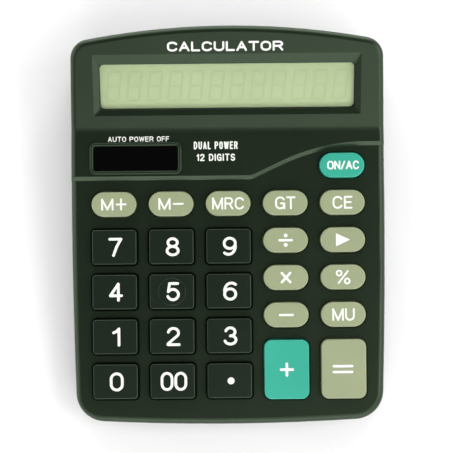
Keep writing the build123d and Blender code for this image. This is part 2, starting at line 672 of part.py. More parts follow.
# ------------------------------------------------------------------ keyboard stack
with BuildPart() as key_mat:
    mat_side = BOARD_HALF_WIDTH - MAT_INSET
    mat_front = BOARD_FRONT_V + MAT_INSET
    mat_back = BOARD_BACK_V - 2 * MAT_INSET
    with BuildSketch(deck.offset(BOARD_TOP_N)):
        with Locations((0, (mat_front + MAT_BACK_V) / 2)):
            Rectangle(2 * mat_side, MAT_BACK_V - mat_front)
        with Locations(((MAT_POWER_U + mat_side) / 2, (mat_front + mat_back) / 2)):
            Rectangle(mat_side - MAT_POWER_U, mat_back - mat_front)
        with Locations(*BOARD_SCREWS):
            Circle(BOARD_BOSS_RADIUS + 2 * CLEAR, mode=Mode.SUBTRACT)
    extrude(amount=MAT_WEB)
    web_top_n = BOARD_TOP_N + MAT_WEB
    dome_rise = DOME_TOP_N - web_top_n
    dome_draft = degrees(atan((DOME_RADIUS - DOME_TOP_RADIUS) / dome_rise))
    extrude(discs(deck.offset(web_top_n), KEY_PLACES, DOME_RADIUS), amount=dome_rise, taper=dome_draft)
    hollow_radius = DOME_RADIUS - DOME_WALL
    hollows = discs(deck.offset(web_top_n), KEY_PLACES, hollow_radius)
    extrude(hollows, amount=dome_rise - DOME_WALL, taper=dome_draft, mode=Mode.SUBTRACT)
    web_holes = discs(deck.offset(BOARD_TOP_N), KEY_PLACES, hollow_radius)
    extrude(web_holes, amount=MAT_WEB, mode=Mode.SUBTRACT)
keep(key_mat.part, "key_mat")

with BuildPart() as main_board:
    with BuildSketch(deck.offset(BOARD_TOP_N)):
        with Locations((0, (BOARD_FRONT_V + BOARD_BACK_V) / 2)):
            Rectangle(2 * BOARD_HALF_WIDTH, BOARD_BACK_V - BOARD_FRONT_V)
        with Locations((0, (BOARD_TAB_V + BOARD_FRONT_V) / 2)):
            Rectangle(2 * BOARD_TAB_HALF_WIDTH, BOARD_FRONT_V - BOARD_TAB_V)
        with Locations(*BOARD_SCREWS):
            Circle(BOARD_SCREW_RADIUS + CLEAR, mode=Mode.SUBTRACT)
    extrude(amount=-BOARD_THICK)
keep(main_board.part, "main_board")

with BuildPart() as processor_blob:
    blob_disc = discs(deck.offset(BOARD_UNDER_N), [PROCESSOR_PLACE], PROCESSOR_RADIUS)
    extrude(blob_disc, amount=-PROCESSOR_HEIGHT)
    under = processor_blob.faces().sort_by(Axis(deck.origin, deck.z_dir))[0]
    fillet(under.edges(), PROCESSOR_ROUND)
keep(processor_blob.part, "processor_blob")

with BuildPart() as board_capacitors:
    extrude(discs(deck.offset(BOARD_UNDER_N), CAPACITORS, CAPACITOR_RADIUS), amount=-CAPACITOR_HEIGHT)
keep(board_capacitors.part, "board_capacitors")

# ------------------------------------------------------------------ battery
cell_end_x = BAY_HALF_LENGTH - CONTACT_THICK - CELL_NUB
cell_start_x = cell_end_x - CELL_LENGTH

with BuildPart() as aa_cell:
    extrude(discs(Plane.YZ.offset(cell_start_x), [(CELL_Y, CELL_Z)], CELL_RADIUS), amount=CELL_LENGTH)
    fillet(aa_cell.edges(), CELL_ROUND)
    extrude(discs(Plane.YZ.offset(cell_end_x), [(CELL_Y, CELL_Z)], CELL_NUB_RADIUS), amount=CELL_NUB)
keep(aa_cell.part, "aa_cell")


def contact_plate():
    """The flat contact at the bay's right end, with the tab that goes out through its wall."""
    inner_x = BAY_HALF_LENGTH - CONTACT_THICK
    block(
        (inner_x, CELL_Y - CONTACT_HALF_WIDTH, CONTACT_LOW_Z),
        (BAY_HALF_LENGTH, CELL_Y + CONTACT_HALF_WIDTH, CONTACT_HIGH_Z),
    )
    block(
        (inner_x, TAB_Y - TAB_HALF_WIDTH, TAB_Z - CONTACT_THICK / 2),
        (BAY_HALF_LENGTH + TAB_LENGTH, TAB_Y + TAB_HALF_WIDTH, TAB_Z + CONTACT_THICK / 2),
    )


with BuildPart() as battery_contact:
    contact_plate()
keep(battery_contact.part, "battery_contact")

with BuildPart() as battery_spring:
    contact_plate()
    mirror(about=Plane.YZ, mode=Mode.REPLACE)
    coil_start_x = -BAY_HALF_LENGTH + CONTACT_THICK
    coil_length = cell_start_x - coil_start_x - SPRING_WIRE
    with BuildLine() as coil:
        Helix(
            SPRING_PITCH,
            coil_length,
            SPRING_RADIUS,
            center=(coil_start_x, CELL_Y, CELL_Z),
            direction=(1, 0, 0),
        )
    with BuildSketch(Plane(origin=coil.line @ 0, z_dir=coil.line % 0)) as section:
        Circle(SPRING_WIRE)
    sweep(section.sketch, path=coil.line, is_frenet=True)
keep(battery_spring.part, "battery_spring")

with BuildPart() as battery_wires:
    tab_end = deck.to_local_coords(Vector(BAY_HALF_LENGTH + TAB_LENGTH, TAB_Y, TAB_Z))
    stops = [
        (WIRE_U, WIRE_END_V, BOARD_TOP_N),
        (WIRE_U, WIRE_END_V, BOARD_TOP_N + WIRE_RISE),
        (WIRE_U, BOARD_BACK_V + WIRE_SLOPE[0], BOARD_TOP_N + WIRE_RISE),
        (WIRE_U, BOARD_BACK_V + WIRE_SLOPE[1], tab_end.Z),
        (WIRE_U, tab_end.Y, tab_end.Z),
        (tab_end.X, tab_end.Y, tab_end.Z),
    ]
    wire([deck.from_local_coords(stop) for stop in stops], WIRE_BENDS, WIRE_RADIUS)
    mirror(about=Plane.YZ)
keep(battery_wires.part, "battery_wires")


# ------------------------------------------------------------------ fasteners and feet
def make_screws(label, seat, places, head, shank):
    """Pan-head screws whose heads lie under the seat plane, with a cross recess in each."""
    head_radius, head_height = head
    shank_radius, shank_length = shank
    with BuildPart() as screws:
        extrude(discs(seat, places, head_radius), amount=-head_height)
        ends = screws.faces().filter_by(seat).group_by(Axis(seat.origin, seat.z_dir))[0]
        fillet(ends.edges(), HEAD_ROUND)
        extrude(discs(seat, places, shank_radius), amount=shank_length)
        with BuildSketch(seat.offset(-head_height)):
            with Locations(*places):
                Rectangle(head_radius, SCREW_SLOT)
                Rectangle(SCREW_SLOT, head_radius)
        extrude(amount=head_height / 2, mode=Mode.SUBTRACT)
    keep(screws.part, label)


make_screws(
    "case_screws",
    deck.offset(CASE_SEAT_N),
    CASE_SCREWS,
    (CASE_HEAD_RADIUS, CASE_HEAD_HEIGHT),
    (CASE_SCREW_RADIUS, CASE_SCREW_LENGTH),
)
make_screws(
    "board_screws",
    deck.offset(BOARD_UNDER_N),
    BOARD_SCREWS,
    (BOARD_HEAD_RADIUS, BOARD_HEAD_HEIGHT),
    (BOARD_SCREW_RADIUS, BOARD_SCREW_LENGTH),
)
make_screws(
    "lcd_screws",
    face.offset(FRAME_UNDER_M),
    LCD_SCREWS,
    (LCD_HEAD_RADIUS, LCD_HEAD_HEIGHT),
    (LCD_SCREW_RADIUS, LCD_SCREW_LENGTH),
)

with BuildPart() as rubber_feet:
    extrude(discs(Plane.XY, FEET, FOOT_RADIUS), amount=FOOT_HEIGHT + FOOT_RECESS)
    fillet(rubber_feet.faces().group_by(Axis.Z)[0].edges(), FOOT_ROUND)
keep(rubber_feet.part, "rubber_feet")

# ------------------------------------------------------------------ files
os.makedirs("parts", exist_ok=True)
for piece in PARTS:
    export_step(piece, f"parts/{piece.label}.step")
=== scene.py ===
"""Looks of the desk calculator: moulded plastics, printed legends, liquid-crystal display and studio.

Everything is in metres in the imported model's frame. The key deck has its own frame, (u, v, n), and the
display face has another, (u, t, m), as in the model: millimetres in those frames are turned into places
with on_deck and on_face.
"""

import math

import bpy
import numpy as np
from mathutils import Matrix, Vector


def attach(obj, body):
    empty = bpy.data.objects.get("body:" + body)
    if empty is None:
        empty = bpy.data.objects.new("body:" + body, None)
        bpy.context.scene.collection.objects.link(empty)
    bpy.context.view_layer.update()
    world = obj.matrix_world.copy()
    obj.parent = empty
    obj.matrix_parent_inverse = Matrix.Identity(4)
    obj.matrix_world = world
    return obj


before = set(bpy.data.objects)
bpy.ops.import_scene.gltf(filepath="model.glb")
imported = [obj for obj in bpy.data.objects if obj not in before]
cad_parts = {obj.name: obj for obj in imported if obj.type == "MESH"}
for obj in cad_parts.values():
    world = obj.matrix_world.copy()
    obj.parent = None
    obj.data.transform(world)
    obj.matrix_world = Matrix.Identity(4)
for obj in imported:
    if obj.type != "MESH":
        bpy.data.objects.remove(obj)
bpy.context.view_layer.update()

MM = 0.001
DECK_Y, DECK_Z = -0.48, 20.3  # the key deck's origin
DECK_TILT = math.radians(6.0)
FACE_TILT = math.radians(17.0)  # the display face against the key deck
FOLD_V = 35.6  # where the display face starts to rise
PANEL_N = 1.0  # the raised panel's top over the key deck
deck = Matrix.Translation((0, DECK_Y * MM, DECK_Z * MM)) @ Matrix.Rotation(DECK_TILT, 4, "X")
fold = Matrix.Translation((0, FOLD_V * MM, PANEL_N * MM))
display_face = deck @ fold @ Matrix.Rotation(FACE_TILT, 4, "X")


# ------------------------------------------------------------------ materials
PLASTIC_IOR = 1.54
COAT_ROUGHNESS = 0.25
NOISE_LOW, NOISE_HIGH = 0.3, 0.7  # the noise textures' values lie almost all between these
PLASTIC_SWING = 0.05  # how far the grain takes a plastic's roughness either way
METAL_SWING = 0.08
GRAIN_DEPTH = 0.2  # the depth of a plastic's grain, in grain sizes
SCRATCH_DEPTH = 0.1
SCRATCH_RELIEF = 0.2
SHEET_HAZE_MM = 6.0  # the size of the patches of haze in a clear sheet
SHEET_SWING = 0.03


def linear(hex_colour):
    """An sRGB hex colour as linear red, green, blue and alpha."""
    values = [int(hex_colour[i : i + 2], 16) / 255 for i in (1, 3, 5)]
    return [v / 12.92 if v <= 0.04045 else ((v + 0.055) / 1.055) ** 2.4 for v in values] + [1.0]


def add_node(tree, kind, settings=None, links=None):
    """Adds a node, with its properties and socket values from settings and its inputs from links."""
    node = tree.nodes.new(kind)
    for name, value in (settings or {}).items():
        if isinstance(name, str) and hasattr(node, name):
            setattr(node, name, value)
        else:
            node.inputs[name].default_value = value
    for name, source in (links or {}).items():
        tree.links.new(source, node.inputs[name])
    return node


def start_material(name):
    """A new empty node material."""
    material = bpy.data.materials.new(name)
    material.use_nodes = True
    material.node_tree.nodes.clear()
    return material, material.node_tree


def moulded(
    name,
    light,
    dark,
    roughness,
    grain_mm,
    relief,
    cloud_mm=18.0,
    coat=0.0,
    specular=0.5,
    glint="#FFFFFF",
):
    """A moulded plastic: a spark-eroded grain in its skin and a slow drift of tone over it.

    The tone drifts between light and dark over cloud_mm, and glint is the colour of its highlights.
    """
    material, tree = start_material(name)
    place = add_node(tree, "ShaderNodeTexCoord").outputs["Object"]
    cloud = add_node(
        tree, "ShaderNodeTexNoise", {"Scale": 1 / (cloud_mm * MM), "Detail": 3.0}, {"Vector": place}
    )
    grain = add_node(
        tree, "ShaderNodeTexNoise", {"Scale": 1 / (grain_mm * MM), "Detail": 2.0}, {"Vector": place}
    )
    tone = add_node(
        tree,
        "ShaderNodeMapRange",
        {"From Min": NOISE_LOW, "From Max": NOISE_HIGH},
        {"Value": cloud.outputs["Fac"]},
    )
    colour = add_node(
        tree,
        "ShaderNodeMix",
        {"data_type": "RGBA", 6: linear(dark), 7: linear(light)},
        {0: tone.outputs["Result"]},
    )
    gloss = add_node(
        tree,
        "ShaderNodeMapRange",
        {
            "From Min": NOISE_LOW,
            "From Max": NOISE_HIGH,
            "To Min": roughness - PLASTIC_SWING,
            "To Max": roughness + PLASTIC_SWING,
        },
        {"Value": grain.outputs["Fac"]},
    )
    skin = add_node(
        tree,
        "ShaderNodeBump",
        {"Strength": relief, "Distance": grain_mm * MM * GRAIN_DEPTH},
        {"Height": grain.outputs["Fac"]},
    )
    surface = add_node(
        tree,
        "ShaderNodeBsdfPrincipled",
        {
            "IOR": PLASTIC_IOR,
            "Specular IOR Level": specular,
            "Specular Tint": linear(glint),
            "Coat Weight": coat,
            "Coat Roughness": COAT_ROUGHNESS,
        },
        {
            "Base Color": colour.outputs[2],
            "Roughness": gloss.outputs["Result"],
            "Normal": skin.outputs["Normal"],
        },
    )
    add_node(tree, "ShaderNodeOutputMaterial", {}, {"Surface": surface.outputs[0]})
    return material


def worked_metal(name, hex_colour, roughness, scratch_mm):
    """A metal with fine scratches in its skin, which break up its reflections."""
    material, tree = start_material(name)
    place = add_node(tree, "ShaderNodeTexCoord").outputs["Object"]
    scratches = add_node(
        tree, "ShaderNodeTexNoise", {"Scale": 1 / (scratch_mm * MM), "Detail": 4.0}, {"Vector": place}
    )
    gloss = add_node(
        tree,
        "ShaderNodeMapRange",
        {
            "From Min": NOISE_LOW,
            "From Max": NOISE_HIGH,
            "To Min": roughness - METAL_SWING,
            "To Max": roughness + METAL_SWING,
        },
        {"Value": scratches.outputs["Fac"]},
    )
    skin = add_node(
        tree,
        "ShaderNodeBump",
        {"Strength": SCRATCH_RELIEF, "Distance": scratch_mm * MM * SCRATCH_DEPTH},
        {"Height": scratches.outputs["Fac"]},
    )
    surface = add_node(
        tree,
        "ShaderNodeBsdfPrincipled",
        {"Base Color": linear(hex_colour), "Metallic": 1.0},
        {"Roughness": gloss.outputs["Result"], "Normal": skin.outputs["Normal"]},
    )
    add_node(tree, "ShaderNodeOutputMaterial", {}, {"Surface": surface.outputs[0]})
    return material


def clear_sheet(name, tint, roughness, ior):
    """A clear plastic sheet. Lamps shine straight through it, so what lies under it is lit evenly."""
    material, tree = start_material(name)
    place = add_node(tree, "ShaderNodeTexCoord").outputs["Object"]
    haze = add_node(
        tree, "ShaderNodeTexNoise", {"Scale": 1 / (SHEET_HAZE_MM * MM), "Detail": 2.0}, {"Vector": place}
    )
    gloss = add_node(
        tree,
        "ShaderNodeMapRange",
        {"To Min": roughness, "To Max": roughness + SHEET_SWING},
        {"Value": haze.outputs["Fac"]},
    )
    glass = add_node(
        tree,
        "ShaderNodeBsdfPrincipled",
        {"Base Color": linear(tint), "IOR": ior, "Transmission Weight": 1.0},
        {"Roughness": gloss.outputs["Result"]},
    )
    passing = add_node(tree, "ShaderNodeBsdfTransparent", {"Color": linear(tint)})
    path = add_node(tree, "ShaderNodeLightPath")
    mixed = add_node(
        tree,
        "ShaderNodeMixShader",
        {},
        {0: path.outputs["Is Shadow Ray"], 1: glass.outputs[0], 2: passing.outputs[0]},
    )
    add_node(tree, "ShaderNodeOutputMaterial", {}, {"Surface": mixed.outputs[0]})
    return material


# Case: injection-moulded ABS, dark green. Its fine spark-eroded skin spreads the light softly.
case_abs = moulded(
    "moulded_ABS_dark_green", "#131B12", "#0F170E", 0.36, 0.25, 0.3, specular=0.5, glint="#DCFFD4"
)
# Digit keys: moulded ABS as dark as the case and a little glossier, with crisper edges of light.
digit_abs = moulded(
    "moulded_ABS_key_dark", "#131C14", "#0F1810", 0.34, 0.2, 0.2, specular=0.45, glint="#E4FFE2"
)
# Function keys: satin moulded ABS, a flat pale grey-green.
grey_abs = moulded("moulded_ABS_key_grey_green", "#9AA37F", "#959E7B", 0.4, 0.2, 0.2)
# Power and plus keys: satin moulded ABS, a bright flat teal.
teal_abs = moulded("moulded_ABS_key_teal", "#35AB93", "#30A58E", 0.38, 0.2, 0.2)
# Display border: a flat black band round the glass. It is painted shade for the shadowed gap between the
# window's wall and the sunken display, a thin dark line inside the window.
painted_shadow_band = moulded("painted_shadow_band_black", "#0A0D0A", "#080A08", 0.6, 0.15, 0.1)
# Legends: pad-printed ink, a flat and slightly chalky white.
white_ink = moulded("pad_printed_ink_white", "#F4F6EE", "#E9ECE4", 0.55, 0.15, 0.15, cloud_mm=3.0)
# Display window: clear polycarbonate, coated against glare: the low IOR leaves almost no mirror image.
window_sheet = clear_sheet("coated_polycarbonate_clear", "#F6FAF4", 0.02, 1.12)
# Solar window: polished smoked acrylic, which keeps the cell under it black.
solar_sheet = clear_sheet("polished_acrylic_smoked", "#55575A", 0.03, 1.49)
# Liquid-crystal glass: a reflective panel behind satin glass, an even yellow-green.
lcd_glass = moulded("reflective_LCD_glass", "#A3AD8A", "#9FA986", 0.5, 0.3, 0.05, cloud_mm=30.0)
# Segments at rest: the same glass, just dark enough to make out.
lcd_ghost = moulded("LCD_segment_at_rest", "#9CA683", "#98A27F", 0.5, 0.3, 0.05, cloud_mm=30.0)
# Solar cell: amorphous silicon on glass, nearly black and faintly blue.
solar_silicon = moulded("amorphous_silicon_cell", "#060608", "#040405", 0.3, 0.5, 0.05, specular=0.2)
# Display frame: moulded ABS in its natural off-white, satin.
frame_abs = moulded("moulded_ABS_white", "#E4E4DC", "#DCDCD2", 0.5, 0.3, 0.3)
# Flat cable: polyimide film, a warm glossy amber.
cable_film = moulded("polyimide_film", "#B9782A", "#AC6E22", 0.3, 0.4, 0.1)
# Key mat: compression-moulded silicone rubber, a matt milky grey.
mat_silicone = moulded("moulded_silicone_rubber", "#B9BBB6", "#AEB0AB", 0.6, 0.4, 0.3)
# Circuit board: glass-epoxy laminate under solder mask, a deep green with a thin gloss.
board_laminate = moulded("solder_masked_laminate", "#1F6B3A", "#1B5F33", 0.3, 0.8, 0.3, coat=0.3)
# Chip cover: poured epoxy, glossy black with one clear highlight.
poured_epoxy = moulded("poured_black_epoxy", "#101112", "#0B0C0D", 0.15, 2.0, 0.3)
# Wire cover: extruded soft PVC, a smooth red.
wire_pvc = moulded("extruded_PVC_red", "#A8201C", "#9C1B18", 0.4, 0.4, 0.1)
# Cell sleeve: shrunk PVC film with no lettering, a glossy blue.
cell_film = moulded("shrunk_PVC_sleeve", "#2B6A8C", "#265F80", 0.25, 1.0, 0.1, coat=0.4)
# Feet: moulded rubber, black and quite matt.
foot_rubber = moulded("moulded_black_rubber", "#1B1C1B", "#151615", 0.75, 0.3, 0.5)
# Capacitor cans: drawn aluminium, pale and softly bright.
can_metal = worked_metal("drawn_aluminium", "#C9CBCC", 0.3, 0.3)
# Screws: zinc-plated steel, a greyish shine.
screw_metal = worked_metal("zinc_plated_steel", "#B4B6B4", 0.32, 0.4)
# Contacts: nickel-plated spring steel, the brightest metal, a little warm.
contact_metal = worked_metal("nickel_plated_steel", "#C6C3BB", 0.22, 0.4)

# Each node's finish. A key that is neither here nor in DIGIT_KEYS is grey.
FINISHES = {
    "upper_case": case_abs,
    "lower_case": case_abs,
    "battery_door": case_abs,
    "display_window": window_sheet,
    "lcd_panel": lcd_glass,
    "lcd_frame": frame_abs,
    "lcd_ribbon": cable_film,
    "solar_window": solar_sheet,
    "solar_cell": solar_silicon,
    "solar_wires": wire_pvc,
    "key_mat": mat_silicone,
    "main_board": board_laminate,
    "processor_blob": poured_epoxy,
    "board_capacitors": can_metal,
    "aa_cell": cell_film,
    "battery_contact": contact_metal,
    "battery_spring": contact_metal,
    "battery_wires": wire_pvc,
    "case_screws": screw_metal,
    "board_screws": screw_metal,
    "lcd_screws": screw_metal,
    "rubber_feet": foot_rubber,
    "key_power": teal_abs,
    "key_plus": teal_abs,
}
DIGIT_KEYS = ["7", "8", "9", "4", "5", "6", "1", "2", "3", "0", "00", "point"]

for name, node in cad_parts.items():
    finish = FINISHES.get(name)
    if finish is None:
        finish = digit_abs if name.removeprefix("key_") in DIGIT_KEYS else grey_abs
    for part_slot in node.material_slots:
        part_slot.material = finish


# ------------------------------------------------------------------ lettering
ARC_STEP = 12  # degrees between the points of an arc
OUTLINE_STEP = 0.07  # the grid that outlines are traced on, millimetres
OUTLINE_SLACK = 0.06  # how far a traced point may be off the line to be left out, in grid steps
LONGEST_SIDE = 1.2  # a point is kept at least this often, millimetres
PRINT_HEIGHT = 0.03  # the thickness of the printed ink, millimetres
WORD_GAP = 0.75  # between the letters of a word, in pen widths
LEAST_ROOM = 0.001  # across a letter that is no wider than the pen, millimetres


def bow(x, y, half_width, half_height, start, end):
    """Points along an elliptical arc about (x, y), from start to end in degrees."""
    steps = max(4, round(abs(end - start) / ARC_STEP))
    angles = np.radians(np.linspace(start, end, steps + 1))
    return [(x + half_width * math.cos(a), y + half_height * math.sin(a)) for a in angles]


# Each letter is a list of strokes: the pen's middle line in a box that is one wide and one high.
GLYPHS = {
    "0": [bow(0.5, 0.66, 0.5, 0.34, 0, 180) + bow(0.5, 0.34, 0.5, 0.34, 180, 360) + [(1, 0.66)]],
    "1": [[(0.0, 0.76), (0.55, 0.84), (1, 1), (1, 0)]],
    "2": [bow(0.5, 0.72, 0.46, 0.28, 170, -35) + [(0.02, 0.06), (0, 0), (1, 0)]],
    "3": [bow(0.48, 0.75, 0.42, 0.25, 165, -90) + bow(0.48, 0.26, 0.5, 0.26, 85, -165)],
    "4": [[(0.72, 0), (0.72, 1), (0, 0.28), (1, 0.28)]],
    "5": [[(0.92, 1), (0.2, 1), (0.08, 0.5)] + bow(0.49, 0.32, 0.49, 0.32, 140, -160)],
    "6": [bow(0.5, 0.32, 0.5, 0.32, 0, 360), bow(0.62, 0.5, 0.62, 0.5, 55, 190)],
    "7": [[(0, 1), (1, 1), (0.62, 0.55), (0.32, 0)]],
    "8": [bow(0.5, 0.76, 0.42, 0.24, 0, 360), bow(0.5, 0.26, 0.5, 0.26, 0, 360)],
    "9": [bow(0.5, 0.68, 0.5, 0.32, 0, 360), bow(0.38, 0.5, 0.62, 0.5, 10, -125)],
    "A": [[(0, 0), (0.5, 1), (1, 0)], [(0.18, 0.34), (0.82, 0.34)]],
    "C": [bow(0.52, 0.66, 0.5, 0.34, 25, 180) + bow(0.52, 0.34, 0.5, 0.34, 180, 335)],
    "D": [[(0, 0), (0, 1), (0.45, 1)] + bow(0.45, 0.5, 0.55, 0.5, 80, -80) + [(0.45, 0), (0, 0)]],
    "E": [[(1, 1), (0, 1), (0, 0), (1, 0)], [(0, 0.52), (0.9, 0.52)]],
    "F": [[(1, 1), (0, 1), (0, 0)], [(0, 0.5), (0.88, 0.5)]],
    "G": [
        bow(0.5, 0.66, 0.5, 0.34, 25, 180) + bow(0.5, 0.34, 0.5, 0.34, 180, 330) + [(1, 0.46)],
        [(0.58, 0.46), (1, 0.46), (1, 0)],
    ],
    "I": [[(0.5, 0), (0.5, 1)]],
    "L": [[(0, 1), (0, 0), (1, 0)]],
    "M": [[(0, 0), (0, 1), (0.5, 0), (1, 1), (1, 0)]],
    "N": [[(0, 0), (0, 1), (1, 0), (1, 1)]],
    "O": [bow(0.5, 0.64, 0.5, 0.36, 0, 180) + bow(0.5, 0.36, 0.5, 0.36, 180, 360) + [(1, 0.64)]],
    "P": [[(0, 0), (0, 1), (0.6, 1)] + bow(0.6, 0.74, 0.4, 0.26, 80, -80) + [(0.6, 0.48), (0, 0.48)]],
    "R": [
        [(0, 0), (0, 1), (0.6, 1)] + bow(0.6, 0.74, 0.38, 0.26, 80, -80) + [(0.6, 0.48), (0, 0.48)],
        [(0.6, 0.48), (1, 0)],
    ],
    "S": [bow(0.5, 0.75, 0.46, 0.25, 20, 270) + bow(0.5, 0.25, 0.5, 0.25, 90, -160)],
    "T": [[(0, 1), (1, 1)], [(0.5, 1), (0.5, 0)]],
    "U": [[(0, 1), (0, 0.34)] + bow(0.5, 0.34, 0.5, 0.34, 180, 360) + [(1, 0.34), (1, 1)]],
    "W": [[(0, 1), (0.25, 0), (0.5, 0.95), (0.75, 0), (1, 1)]],
    "/": [[(0, 0), (1, 1)]],
    "+": [[(0, 0.5), (1, 0.5)], [(0.5, 0), (0.5, 1)]],
    "-": [[(0, 0.5), (1, 0.5)]],
    "x": [[(0, 0), (1, 1)], [(0, 1), (1, 0)]],
    "=": [[(0, 1), (1, 1)], [(0, 0), (1, 0)]],
    ".": [[(0.5, 0.5), (0.5, 0.5)]],
    ":": [[(0, 0.5), (1, 0.5)], bow(0.5, 0.94, 0.06, 0.07, 0, 360), bow(0.5, 0.06, 0.06, 0.07, 0, 360)],
    "%": [
        bow(0.19, 0.81, 0.19, 0.19, 0, 360),
        bow(0.81, 0.19, 0.19, 0.19, 0, 360),
        [(0.14, 0.04), (0.86, 0.96)],
    ],
}


def distance_to_strokes(strokes, points):
    """The distance from each point to the nearest of the strokes' middle lines."""
    nearest = np.full(len(points), np.inf)
    for stroke in strokes:
        for start, end in zip(stroke[:-1], stroke[1:]):
            a = np.array(start, float)
            run = np.array(end, float) - a
            length_squared = max(float(run @ run), 1e-12)
            along = np.clip(((points - a) @ run) / length_squared, 0, 1)
            gaps = points - a - along[:, None] * run
            nearest = np.minimum(nearest, np.hypot(gaps[:, 0], gaps[:, 1]))
    return nearest


# The sides of a grid cell that an outline crosses, for each of the cell's sixteen patterns of corners
# inside the ink. Corners and sides count anticlockwise from the lower left corner and the lower side.
CROSSINGS = {
    1: [(3, 0)],
    2: [(0, 1)],
    3: [(3, 1)],
    4: [(1, 2)],
    5: [(3, 0), (1, 2)],
    6: [(0, 2)],
    7: [(3, 2)],
    8: [(2, 3)],
    9: [(2, 0)],
    10: [(0, 1), (2, 3)],
    11: [(2, 1)],
    12: [(1, 3)],
    13: [(1, 0)],
    14: [(0, 3)],
}


def ink_outlines(strokes, pen):
    """Closed outlines of the area within half a pen's width of the strokes, in millimetres."""
    step = OUTLINE_STEP
    flat = np.array([point for stroke in strokes for point in stroke], float)
    low = flat.min(axis=0) - pen
    counts = np.ceil((flat.max(axis=0) + pen - low) / step).astype(int) + 1
    xs = low[0] + step * np.arange(counts[0])
    ys = low[1] + step * np.arange(counts[1])
    grid = np.stack(np.meshgrid(xs, ys, indexing="ij"), axis=-1).reshape(-1, 2)
    depth = (pen / 2 - distance_to_strokes(strokes, grid)).reshape(counts)
    inside = depth > 0
    pattern = inside[:-1, :-1] * 1 + inside[1:, :-1] * 2 + inside[1:, 1:] * 4 + inside[:-1, 1:] * 8
    following = {}
    places = {}
    for i, j in zip(*np.nonzero((pattern > 0) & (pattern < 15))):
        corners = [(i, j), (i + 1, j), (i + 1, j + 1), (i, j + 1)]
        for side_pair in CROSSINGS[int(pattern[i, j])]:
            ends = []
            for side in side_pair:
                a, b = sorted((corners[side], corners[(side + 1) % 4]))
                share = depth[a] / (depth[a] - depth[b])
                places[(a, b)] = (
                    xs[a[0]] + share * (xs[b[0]] - xs[a[0]]),
                    ys[a[1]] + share * (ys[b[1]] - ys[a[1]]),
                )
                ends.append((a, b))
            following[ends[0]] = ends[1]
    loops = []
    while following:
        here = next(iter(following.values()))
        loop = []
        while here in following:
            loop.append(places[here])
            here = following.pop(here)
        loops.append(thin_out(loop, step * OUTLINE_SLACK))
    return loops


def thin_out(loop, slack):
    """The loop without the points that lie within slack of the line through their neighbours."""
    kept = [loop[0]]
    for here, after in zip(loop[1:], loop[2:] + loop[:1]):
        before = Vector(kept[-1])
        run = Vector(after) - before
        gap = Vector(here) - before
        off_line = abs(run.x * gap.y - run.y * gap.x) / max(run.length, 1e-9)
        if off_line > slack or gap.length > LONGEST_SIDE:
            kept.append(here)
    return kept


def ink(name, outlines, place, height, material, body="root"):
    """A thin raised print, or a band of painted shade, with these outlines in millimetres, on a plane
    given by a matrix.
    """
    curve = bpy.data.curves.new(name, "CURVE")
    curve.dimensions = "2D"
    curve.fill_mode = "BOTH"
    curve.extrude = height / 2 * MM
    for loop in outlines:
        spline = curve.splines.new("POLY")
        spline.points.add(len(loop) - 1)
        for point, (x, y) in zip(spline.points, loop):
            point.co = (x * MM, y * MM, 0, 1)
        spline.use_cyclic_u = True
    outline = bpy.data.objects.new(name + "_outline", curve)
    bpy.context.scene.collection.objects.link(outline)
    bpy.context.view_layer.update()
    mesh = bpy.data.meshes.new_from_object(outline)
    bpy.data.objects.remove(outline)
    mesh.transform(place @ Matrix.Translation((0, 0, height / 2 * MM)))
    mesh.materials.clear()
    mesh.materials.append(material)
    piece = bpy.data.objects.new(name, mesh)
    bpy.context.scene.collection.objects.link(piece)
    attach(piece, body)


def letter_strokes(text, widths, cap, gap, pen):
    """Strokes for a line of text about (0, 0), with each letter's width, the cap height and the gap."""
    left = -(sum(widths) + gap * (len(text) - 1)) / 2
    rise = cap - pen
    strokes = []
    for letter, width in zip(text, widths):
        if letter != " ":
            start = left + pen / 2
            room = max(width - pen, LEAST_ROOM)
            for stroke in GLYPHS[letter]:
                strokes.append([(start + x * room, (y - 0.5) * rise) for x, y in stroke])
        left += width + gap
    return strokes


# the width of the letters that aren't as wide as the rest, which are 1
LETTER_SHARES = {"I": 0.32, "1": 0.55, " ": 0.5, "W": 1.35, "L": 0.85, "E": 0.9, "F": 0.85}


def word(name, text, place, total, cap, pen):
    """A printed line of capitals, spread over a total width."""
    gap = pen * WORD_GAP
    shares = [LETTER_SHARES.get(letter, 1.0) for letter in text]
    unit = (total - gap * (len(text) - 1)) / sum(shares)
    widths = [unit * share for share in shares]
    strokes = letter_strokes(text, widths, cap, gap, pen)
    ink(name, ink_outlines(strokes, pen), place, PRINT_HEIGHT, white_ink)


# ------------------------------------------------------------------ prints on the keys and the case
KEY_TOP_N = 2.3  # the keys' tops over the key deck
KEY_PITCH = 21.4
KEY_COLUMNS = [column * KEY_PITCH for column in (-2, -1, 0, 1, 2)]
DIGIT_ROWS = [-8.2, -25.0, -41.8, -58.6]
OVAL_ROWS = [7.85, -6.15, -20.15, -34.15]
TALL_V = -54.6  # the plus and equals keys
POWER_V = 21.8
DIGIT_SHIFT = 0.45  # the digits sit this far to the right of their keys' middles
SIDE_SHIFT = 0.4  # the legends of the power and equals keys are this far off their keys' middles
POWER_PLACE = (KEY_COLUMNS[4] + SIDE_SHIFT, POWER_V)
EQUALS_PLACE = (KEY_COLUMNS[4] - SIDE_SHIFT, TALL_V)
DIGIT_CAP = 7.1
DIGIT_WIDTH = 5.2
ONE_WIDTH = 3.0
ZEROS_WIDTH = 4.8  # each zero of the double zero
ZEROS_GAP = 0.35
DIGIT_PEN = 1.02
POINT_PEN = 2.6


def on_deck(u, v, n):
    """A frame standing on the key deck at (u, v), n millimetres out of it."""
    return deck @ Matrix.Translation((u * MM, v * MM, n * MM))


def on_face(u, t, m):
    """A frame standing on the display face at (u, t), m millimetres out of it."""
    return display_face @ Matrix.Translation((u * MM, t * MM, m * MM))


